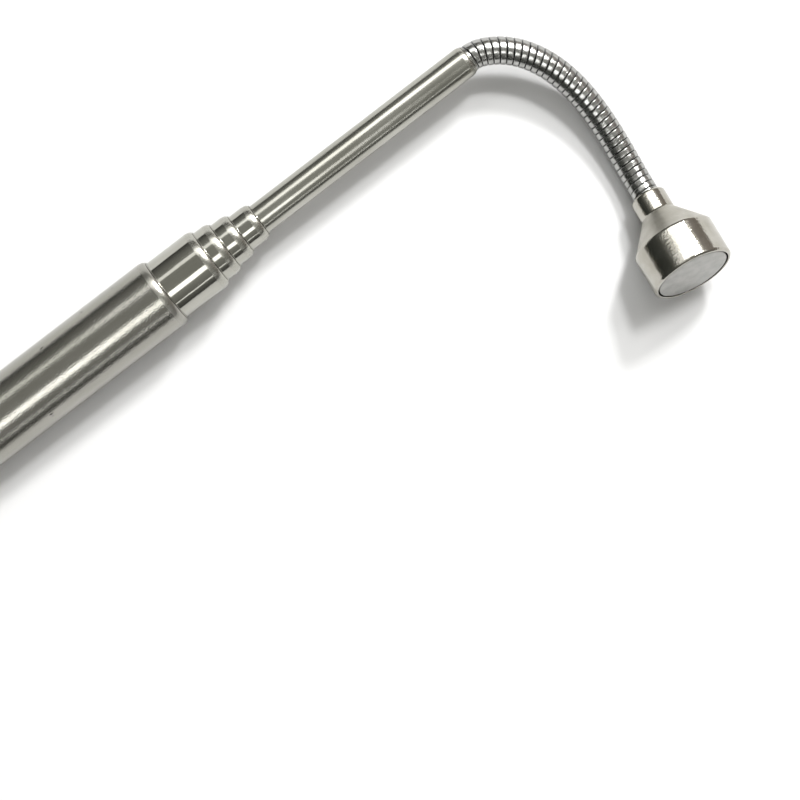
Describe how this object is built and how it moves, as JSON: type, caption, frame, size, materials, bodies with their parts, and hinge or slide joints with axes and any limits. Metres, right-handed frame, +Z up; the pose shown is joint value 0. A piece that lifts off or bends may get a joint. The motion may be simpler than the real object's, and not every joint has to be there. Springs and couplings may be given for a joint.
{
  "type": "magnetic pickup tool",
  "caption": "Telescoping steel pickup tool with nested sliding tubes, a flexible strip-wound neck that bends and holds its shape, and a cup-shaped magnet head.",
  "frame": {"origin": "centre of the handle's rear end face, on the tubes' common axis", "axes": "+X along the tubes from the handle to the neck, +Z up from the surface the tool lies on, and the neck bends towards -Y"},
  "size_m": [0.2117, 0.0535, 0.0139],
  "materials": {
    "satin_steel": "satin, fine lengthwise brushing",
    "bright_nickel": "polished, slightly warm",
    "neck_chrome": "polished, cool",
    "head_nickel": "polished over turning marks",
    "magnet_plating": "matt pale plating",
    "spring_bronze": "plain rolled strip"
  },
  "bodies": {
    "handle": {"handle_tube": "satin_steel", "handle_end_plug": "satin_steel"},
    "spring_pair_2": {"friction_spring_2_left": "spring_bronze", "friction_spring_2_right": "spring_bronze"},
    "tube_2": {"tube_2": "bright_nickel"},
    "spring_pair_3": {"friction_spring_3_left": "spring_bronze", "friction_spring_3_right": "spring_bronze"},
    "tube_3": {"tube_3": "bright_nickel"},
    "spring_pair_4": {"friction_spring_4_left": "spring_bronze", "friction_spring_4_right": "spring_bronze"},
    "tube_4": {"tube_4": "bright_nickel"},
    "spring_pair_5": {"friction_spring_5_left": "spring_bronze", "friction_spring_5_right": "spring_bronze"},
    "tube_5": {"tube_5": "bright_nickel"},
    "spring_pair_6": {"friction_spring_6_left": "spring_bronze", "friction_spring_6_right": "spring_bronze"},
    "tube_6": {"tube_6": "bright_nickel", "neck_root": "neck_chrome"},
    "neck_section_01": {"neck_section_01": "neck_chrome"},
    "neck_section_02": {"neck_section_02": "neck_chrome"},
    "neck_section_03": {"neck_section_03": "neck_chrome"},
    "neck_section_04": {"neck_section_04": "neck_chrome"},
    "neck_section_05": {"neck_section_05": "neck_chrome"},
    "neck_section_06": {"neck_section_06": "neck_chrome"},
    "neck_section_07": {"neck_section_07": "neck_chrome"},
    "neck_section_08": {"neck_section_08": "neck_chrome"},
    "neck_section_09": {"neck_section_09": "neck_chrome"},
    "neck_section_10": {"neck_section_10": "neck_chrome"},
    "neck_section_11": {"neck_section_11": "neck_chrome"},
    "neck_section_12": {"neck_section_12": "neck_chrome"},
    "neck_section_13": {"neck_section_13": "neck_chrome"},
    "neck_section_14": {"neck_section_14": "neck_chrome"},
    "neck_section_15": {"neck_section_15": "neck_chrome"},
    "neck_section_16": {"neck_section_16": "neck_chrome"},
    "neck_section_17": {"neck_section_17": "neck_chrome"},
    "head": {"head_shell": "head_nickel", "magnet": "magnet_plating"}
  },
  "joints": [
    {"name": "tube_2_slide", "type": "slide", "parent": "handle", "child": "spring_pair_2", "axis": [1, 0, 0], "range_m": [-0.0032, 0.1197]},
    {"name": "tube_2_spin", "type": "hinge", "parent": "spring_pair_2", "child": "tube_2", "pos_m": [0, 0, 0], "axis": [1, 0, 0], "continuous": true},
    {"name": "tube_3_slide", "type": "slide", "parent": "tube_2", "child": "spring_pair_3", "axis": [1, 0, 0], "range_m": [-0.0002, 0.1252]},
    {"name": "tube_3_spin", "type": "hinge", "parent": "spring_pair_3", "child": "tube_3", "pos_m": [0, 0, 0], "axis": [1, 0, 0], "continuous": true},
    {"name": "tube_4_slide", "type": "slide", "parent": "tube_3", "child": "spring_pair_4", "axis": [1, 0, 0], "range_m": [-0.0004, 0.125]},
    {"name": "tube_4_spin", "type": "hinge", "parent": "spring_pair_4", "child": "tube_4", "pos_m": [0, 0, 0], "axis": [1, 0, 0], "continuous": true},
    {"name": "tube_5_slide", "type": "slide", "parent": "tube_4", "child": "spring_pair_5", "axis": [1, 0, 0], "range_m": [-0.0009, 0.1245]},
    {"name": "tube_5_spin", "type": "hinge", "parent": "spring_pair_5", "child": "tube_5", "pos_m": [0, 0, 0], "axis": [1, 0, 0], "continuous": true},
    {"name": "tube_6_slide", "type": "slide", "parent": "tube_5", "child": "spring_pair_6", "axis": [1, 0, 0], "range_m": [-0.038, 0.0504]},
    {"name": "tube_6_spin", "type": "hinge", "parent": "spring_pair_6", "child": "tube_6", "pos_m": [0, 0, 0], "axis": [1, 0, 0], "continuous": true},
    {"name": "neck_bend_01", "type": "hinge", "parent": "tube_6", "child": "neck_section_01", "pos_m": [0.199, 0, 0], "axis": [0, 0.0456, -0.999], "range_deg": [-23.99, 3.21]},
    {"name": "neck_bend_02", "type": "hinge", "parent": "neck_section_01", "child": "neck_section_02", "pos_m": [0.20097, -0.00088, -0.00004], "axis": [0.0592, 0.1781, -0.9822], "range_deg": [-11.29, 5.71]},
    {"name": "neck_bend_03", "type": "hinge", "parent": "neck_section_02", "child": "neck_section_03", "pos_m": [0.20274, -0.00212, -0.00016], "axis": [0.0681, 0.1904, -0.9793], "range_deg": [-10.18, 6]},
    {"name": "neck_bend_04", "type": "hinge", "parent": "neck_section_03", "child": "neck_section_04", "pos_m": [0.20426, -0.00364, -0.00035], "axis": [0.0757, 0.1977, -0.9773], "range_deg": [-9.1, 6]},
    {"name": "neck_bend_05", "type": "hinge", "parent": "neck_section_04", "child": "neck_section_05", "pos_m": [0.20552, -0.00538, -0.0006], "axis": [0.0771, 0.1987, -0.977], "range_deg": [-8.05, 6]},
    {"name": "neck_bend_06", "type": "hinge", "parent": "neck_section_05", "child": "neck_section_06", "pos_m": [0.20652, -0.00727, -0.00091], "axis": [0.0666, 0.1935, -0.9788], "range_deg": [-7.04, 6]},
    {"name": "neck_bend_07", "type": "hinge", "parent": "neck_section_06", "child": "neck_section_07", "pos_m": [0.20728, -0.00926, -0.00125], "axis": [0.0378, 0.1831, -0.9824], "range_deg": [-6.09, 6]},
    {"name": "neck_bend_08", "type": "hinge", "parent": "neck_section_07", "child": "neck_section_08", "pos_m": [0.20782, -0.01132, -0.00161], "axis": [-0.0159, 0.1695, -0.9854], "range_deg": [-5.21, 6]},
    {"name": "neck_bend_09", "type": "hinge", "parent": "neck_section_08", "child": "neck_section_09", "pos_m": [0.20817, -0.01342, -0.00198], "axis": [-0.1008, 0.155, -0.9828], "range_deg": [-4.43, 6]},
    {"name": "neck_sway_10", "type": "hinge", "parent": "neck_section_09", "child": "neck_section_10", "pos_m": [0.20835, -0.01554, -0.00233], "axis": [0.9998, 0.0218, 0], "range_deg": [-15, 15]},
    {"name": "neck_bend_11", "type": "hinge", "parent": "neck_section_10", "child": "neck_section_11", "pos_m": [0.2084, -0.01768, -0.00266], "axis": [0.004, 0.129, -0.9916], "range_deg": [-12, 6]},
    {"name": "neck_sway_12", "type": "hinge", "parent": "neck_section_11", "child": "neck_section_12", "pos_m": [0.20833, -0.01982, -0.00294], "axis": [0.9974, -0.0719, 0], "range_deg": [-15, 15]},
    {"name": "neck_bend_13", "type": "hinge", "parent": "neck_section_12", "child": "neck_section_13", "pos_m": [0.20818, -0.02196, -0.00316], "axis": [0.0072, 0.0699, -0.9975], "range_deg": [-12, 6]},
    {"name": "neck_sway_14", "type": "hinge", "parent": "neck_section_13", "child": "neck_section_14", "pos_m": [0.20796, -0.02411, -0.00331], "axis": [0.9923, -0.1242, 0], "range_deg": [-15, 15]},
    {"name": "neck_bend_15", "type": "hinge", "parent": "neck_section_14", "child": "neck_section_15", "pos_m": [0.20769, -0.02625, -0.00338], "axis": [-0.001, -0.0069, -1], "range_deg": [-12, 6]},
    {"name": "neck_sway_16", "type": "hinge", "parent": "neck_section_15", "child": "neck_section_16", "pos_m": [0.20739, -0.02839, -0.00337], "axis": [0.9894, -0.1452, 0], "range_deg": [-9, 15]},
    {"name": "neck_bend_17", "type": "hinge", "parent": "neck_section_16", "child": "neck_section_17", "pos_m": [0.20708, -0.0305, -0.00305], "axis": [-0.0419, -0.2806, -0.9589], "range_deg": [-12, 6]},
    {"name": "head_sway", "type": "hinge", "parent": "neck_section_17", "child": "head", "pos_m": [0.20677, -0.03255, -0.00244], "axis": [0.9836, -0.1805, 0], "range_deg": [-13, 15]}
  ]
}
